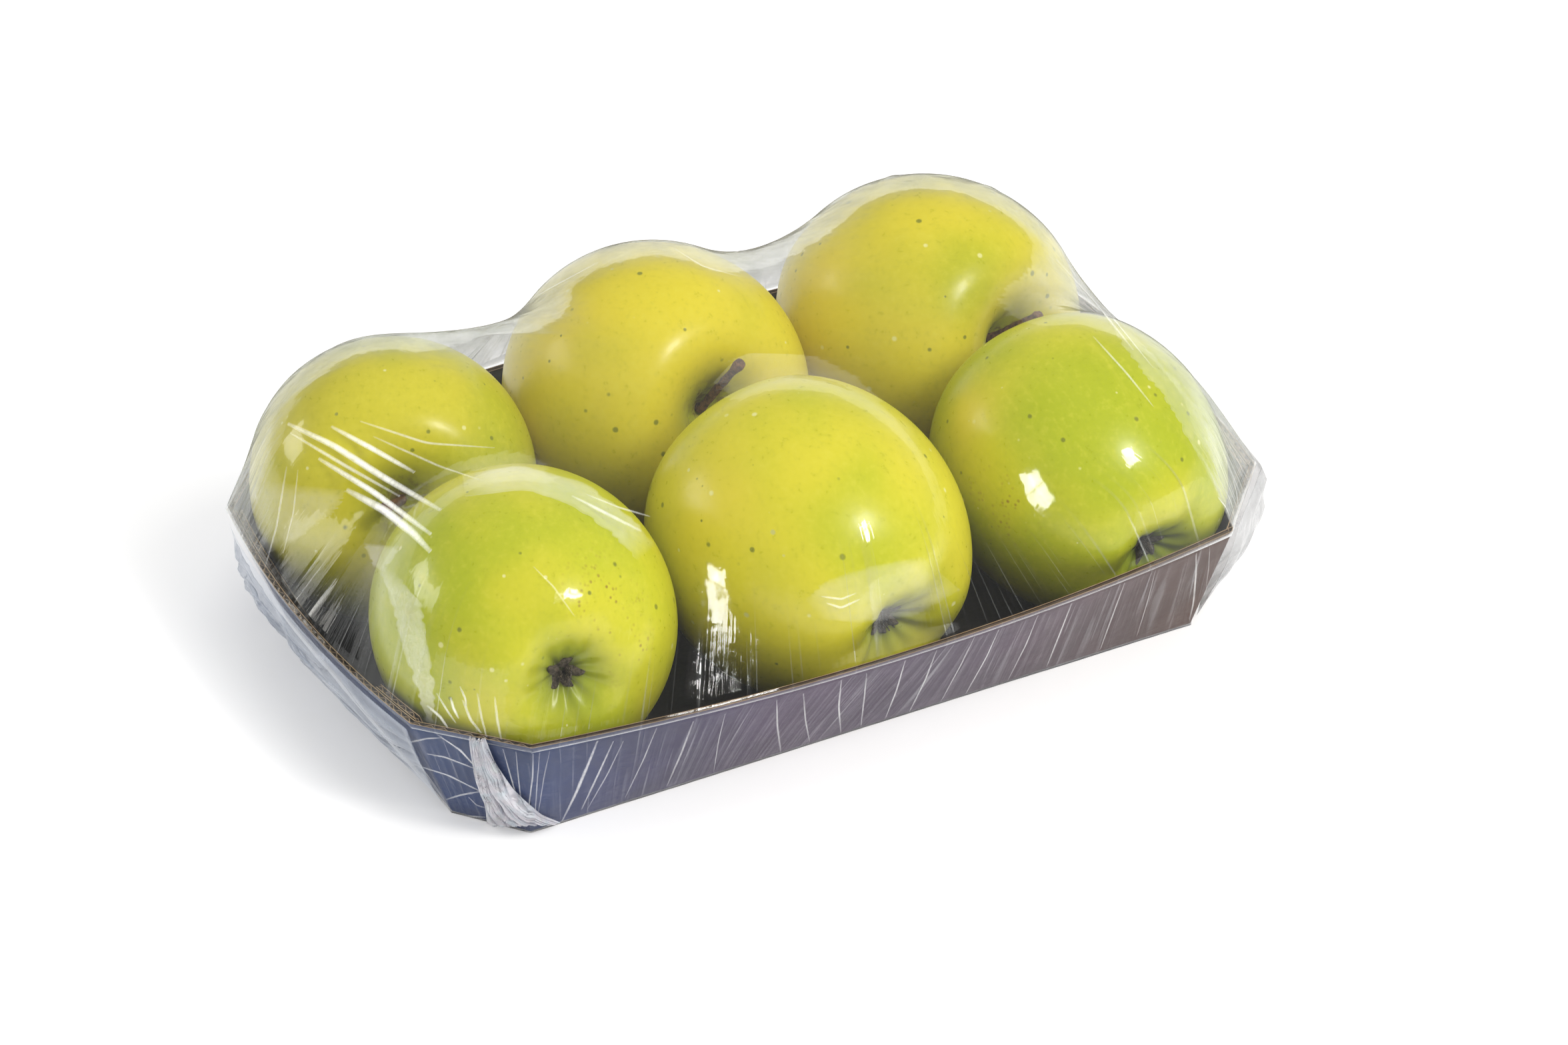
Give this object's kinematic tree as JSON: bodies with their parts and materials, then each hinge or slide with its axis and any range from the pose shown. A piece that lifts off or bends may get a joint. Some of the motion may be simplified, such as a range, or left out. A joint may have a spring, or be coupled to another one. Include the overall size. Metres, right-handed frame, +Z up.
{
  "type": "film-wrapped tray of apples",
  "caption": "Low corrugated-board tray of yellow-green apples lying in rows, overwrapped in clear stretch film.",
  "frame": {"origin": "middle of the tray's base outline, on the surface that the pack rests on", "axes": "+X along the tray's length, -Y towards the front long wall, +Z up"},
  "size_m": [0.241, 0.1631, 0.0801],
  "materials": {
    "board": "uncoated, dark print outside",
    "apple_skin": null,
    "stem": "rough bark",
    "calyx": "dry and withered",
    "pip": "smooth shell",
    "film": "clear stretch film"
  },
  "bodies": {
    "tray": {"tray_base": "board", "wall_front": "board", "wall_back": "board", "wall_left": "board", "wall_right": "board", "corner_front_left": "board", "corner_front_right": "board", "corner_back_left": "board", "corner_back_right": "board", "tab_front_left": "board", "tab_front_right": "board", "tab_back_left": "board", "tab_back_right": "board", "film_skirt": "film", "film_underside": "film", "film_fold_left": "film", "film_fold_right": "film", "film_gather": "film", "film_tail_right": "film", "film_flap_left": "film"},
    "fruit": {"apple_front_left": "apple_skin", "apple_front_middle": "apple_skin", "apple_front_right": "apple_skin", "apple_back_left": "apple_skin", "apple_back_middle": "apple_skin", "apple_back_right": "apple_skin", "stem_front_left": "stem", "stem_front_middle": "stem", "stem_front_right": "stem", "stem_back_left": "stem", "stem_back_middle": "stem", "stem_back_right": "stem", "calyx_front_left": "calyx", "calyx_front_middle": "calyx", "calyx_front_right": "calyx", "calyx_back_left": "calyx", "calyx_back_middle": "calyx", "calyx_back_right": "calyx", "pips_front_left": "pip", "pips_front_middle": "pip", "pips_front_right": "pip", "pips_back_left": "pip", "pips_back_middle": "pip", "pips_back_right": "pip"},
    "film": {"film_top": "film"}
  },
  "joints": [
    {"name": "fruit_lift", "type": "slide", "parent": "tray", "child": "fruit", "axis": [0, 0, 1], "range_m": [0, 0.09]},
    {"name": "film_lift", "type": "slide", "parent": "fruit", "child": "film", "axis": [0, 0, 1], "range_m": [0, 0.06]}
  ]
}
